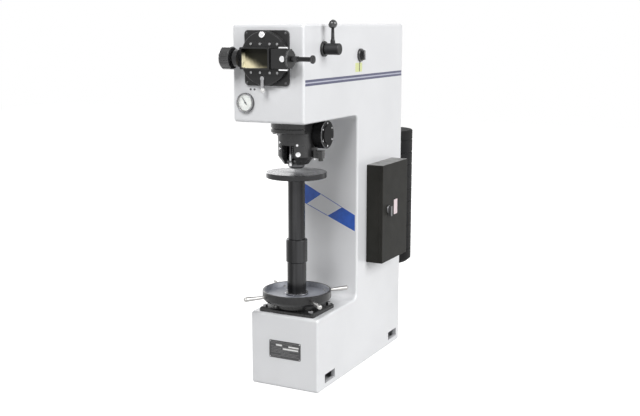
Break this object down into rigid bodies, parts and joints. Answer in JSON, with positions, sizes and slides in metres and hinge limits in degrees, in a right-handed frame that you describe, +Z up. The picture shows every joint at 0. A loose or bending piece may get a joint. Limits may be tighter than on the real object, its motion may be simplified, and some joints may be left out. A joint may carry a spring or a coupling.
{
  "type": "brinell hardness tester",
  "caption": "Floor-standing optical hardness tester: C-frame, handwheel-raised anvil table, indenter nose, turning measuring screen, hand lever, hanging weights and side cabinet.",
  "frame": {"origin": "on the floor, straight below the test axis (the common axis of spindle, clamp sleeve, indenter and plunger), on the underside of the base", "axes": "+Z up along the test axis, +Y back towards the column and the weights, +X to the side of the hand lever and the cabinet"},
  "size_m": [0.3514, 1.085, 1.204],
  "materials": {
    "white_paint": "satin light grey machine enamel on cast iron",
    "black_paint": "satin black enamel",
    "black_cabinet": "semi-gloss black powder coat",
    "cast_iron": "machined cast iron",
    "blued_steel": "black oxide turned steel",
    "ground_steel": "fine ground",
    "bright_steel": "polished",
    "wheel_enamel": "grey-blue enamel dish, black rim",
    "bronze": "machined",
    "black_plastic": "moulded",
    "white_plastic": "moulded",
    "dial_white": "printed dial",
    "glass": "clear",
    "screen_glass": "ground, lit from behind",
    "mirror": "front-silvered",
    "plate": "dark anodised, blank fields"
  },
  "bodies": {
    "root": {"frame_casting": "white_paint", "head_cover": "white_paint", "rear_cover": "white_paint", "cover_screws": "bright_steel", "type_plate": "plate", "screen_plate": "black_paint", "projection_tube": "black_paint", "projection_mirror": "mirror", "gauge_case": "black_paint", "gauge_dial": "dial_white", "gauge_glass": "glass", "crank_boss": "black_paint", "nose_flange": "black_paint", "nose_body": "black_paint", "nose_bolts": "bright_steel", "nose_rods": "bright_steel", "lamp_drum": "black_paint", "lamp_cover": "black_paint", "fulcrum_block": "cast_iron", "lifter_bracket": "cast_iron", "dashpot_cylinder": "cast_iron", "pedestal": "black_paint", "pedestal_bolts": "blued_steel", "thrust_bearing": "ground_steel", "cabinet_box": "black_cabinet", "cabinet_pins": "bright_steel", "cabinet_fittings": "black_plastic"},
    "handwheel": {"elevating_nut": "bronze", "handwheel": "wheel_enamel", "wheel_rods": "bright_steel", "lower_tube": "blued_steel", "tube_collar": "blued_steel"},
    "spindle": {"lead_screw": "ground_steel", "upper_tube": "blued_steel", "table": "ground_steel"},
    "crank": {"crank_shaft": "ground_steel", "crank_lever": "black_paint", "crank_knob": "black_plastic"},
    "connecting_rod": {"connecting_rod": "ground_steel"},
    "lifter": {"lifter_shaft": "ground_steel"},
    "beam": {"load_beam": "cast_iron", "beam_pins": "ground_steel"},
    "hanger": {"weight_hanger": "black_paint", "weight_discs": "black_paint"},
    "dashpot": {"dashpot_piston": "ground_steel"},
    "plunger": {"indenter_plunger": "bright_steel"},
    "sleeve": {"clamp_sleeve": "blued_steel", "sleeve_spring": "bright_steel"},
    "objective": {"objective_arm": "black_paint"},
    "measuring_head": {"measuring_ring": "black_paint", "screen_hood": "black_paint", "screen_glass": "screen_glass", "hood_screws": "bright_steel"},
    "focus": {"focus_knob": "black_plastic"},
    "micrometer": {"micrometer_thimble": "blued_steel"},
    "shift": {"shift_lever": "white_plastic"},
    "pointer": {"gauge_pointer": "blued_steel"},
    "switch": {"switch_knob": "black_plastic"},
    "door": {"cabinet_door": "black_cabinet"},
    "latch": {"door_latch": "bright_steel"}
  },
  "joints": [
    {"name": "wheel_turn", "type": "hinge", "parent": "root", "child": "handwheel", "pos_m": [0, 0, 0.3], "axis": [0, 0, 1], "range_deg": [-6120, 360]},
    {"name": "spindle_lift", "type": "slide", "parent": "root", "child": "spindle", "axis": [0, 0, 1], "range_m": [-0.17, 0.01]},
    {"name": "crank_turn", "type": "hinge", "parent": "root", "child": "crank", "pos_m": [0.15, -0.05, 1.114], "axis": [1, 0, 0], "range_deg": [0, 90]},
    {"name": "rod_swing", "type": "hinge", "parent": "crank", "child": "connecting_rod", "pos_m": [0.055, -0.01253, 1.12801], "axis": [1, 0, 0], "range_deg": [-90, 0]},
    {"name": "lifter_turn", "type": "hinge", "parent": "root", "child": "lifter", "pos_m": [0, 0.43, 0.895], "axis": [1, 0, 0], "range_deg": [0, 90]},
    {"name": "beam_tilt", "type": "hinge", "parent": "root", "child": "beam", "pos_m": [0, -0.036, 0.96], "axis": [1, 0, 0], "range_deg": [0, 1]},
    {"name": "hanger_swing", "type": "hinge", "parent": "beam", "child": "hanger", "pos_m": [0, 0.712, 0.96], "axis": [1, 0, 0], "range_deg": [-1, 0]},
    {"name": "dashpot_slide", "type": "slide", "parent": "root", "child": "dashpot", "axis": [0, 0, 1], "range_m": [0, 0.0064]},
    {"name": "plunger_slide", "type": "slide", "parent": "root", "child": "plunger", "axis": [0, 0, 1], "range_m": [0, 0.00063]},
    {"name": "sleeve_press", "type": "slide", "parent": "root", "child": "sleeve", "axis": [0, 0, 1], "range_m": [0, 0.006], "stiffness_N_per_m": 1500, "springref_m": -0.008, "deforming": ["sleeve_spring"]},
    {"name": "objective_swing", "type": "hinge", "parent": "root", "child": "objective", "pos_m": [0.068, 0, 0.775], "axis": [0, 0, 1], "range_deg": [-75, 0]},
    {"name": "measuring_turn", "type": "hinge", "parent": "root", "child": "measuring_head", "pos_m": [0, -0.2, 1.088], "axis": [0, 1, 0], "range_deg": [0, 90]},
    {"name": "focus_turn", "type": "hinge", "parent": "measuring_head", "child": "focus", "pos_m": [-0.11, -0.229, 1.088], "axis": [1, 0, 0], "range_deg": [-180, 180]},
    {"name": "micrometer_turn", "type": "hinge", "parent": "measuring_head", "child": "micrometer", "pos_m": [0.14, -0.229, 1.088], "axis": [1, 0, 0], "range_deg": [-1800, 1800]},
    {"name": "shift_swing", "type": "hinge", "parent": "measuring_head", "child": "shift", "pos_m": [-0.003, -0.21, 1.027], "axis": [0, 1, 0], "range_deg": [-20, 20]},
    {"name": "pointer_turn", "type": "hinge", "parent": "root", "child": "pointer", "pos_m": [-0.0785, -0.185, 0.95], "axis": [0, 1, 0], "range_deg": [-270, 0]},
    {"name": "switch_turn", "type": "hinge", "parent": "root", "child": "switch", "pos_m": [0.13, 0.218, 1.088], "axis": [1, 0, 0], "range_deg": [-45, 45]},
    {"name": "door_swing", "type": "hinge", "parent": "root", "child": "door", "pos_m": [0.172, 0.5044, 0.538], "axis": [0, 0, 1], "range_deg": [0, 110]},
    {"name": "latch_turn", "type": "hinge", "parent": "door", "child": "latch", "pos_m": [0.186, 0.329, 0.552], "axis": [1, 0, 0], "range_deg": [0, 90]}
  ],
  "couplings": [
    {"joint": "spindle_lift", "follows": "wheel_turn", "m_per_rad": 0.0015915},
    {"joint": "crank_turn", "follows": "beam_tilt", "ratio": 90},
    {"joint": "rod_swing", "follows": "beam_tilt", "ratio": -90},
    {"joint": "lifter_turn", "follows": "beam_tilt", "ratio": 90},
    {"joint": "hanger_swing", "follows": "beam_tilt", "ratio": -1},
    {"joint": "dashpot_slide", "follows": "beam_tilt", "m_per_rad": 0.36598},
    {"joint": "plunger_slide", "follows": "beam_tilt", "m_per_rad": 0.035998},
    {"joint": "pointer_turn", "follows": "beam_tilt", "ratio": -270}
  ]
}
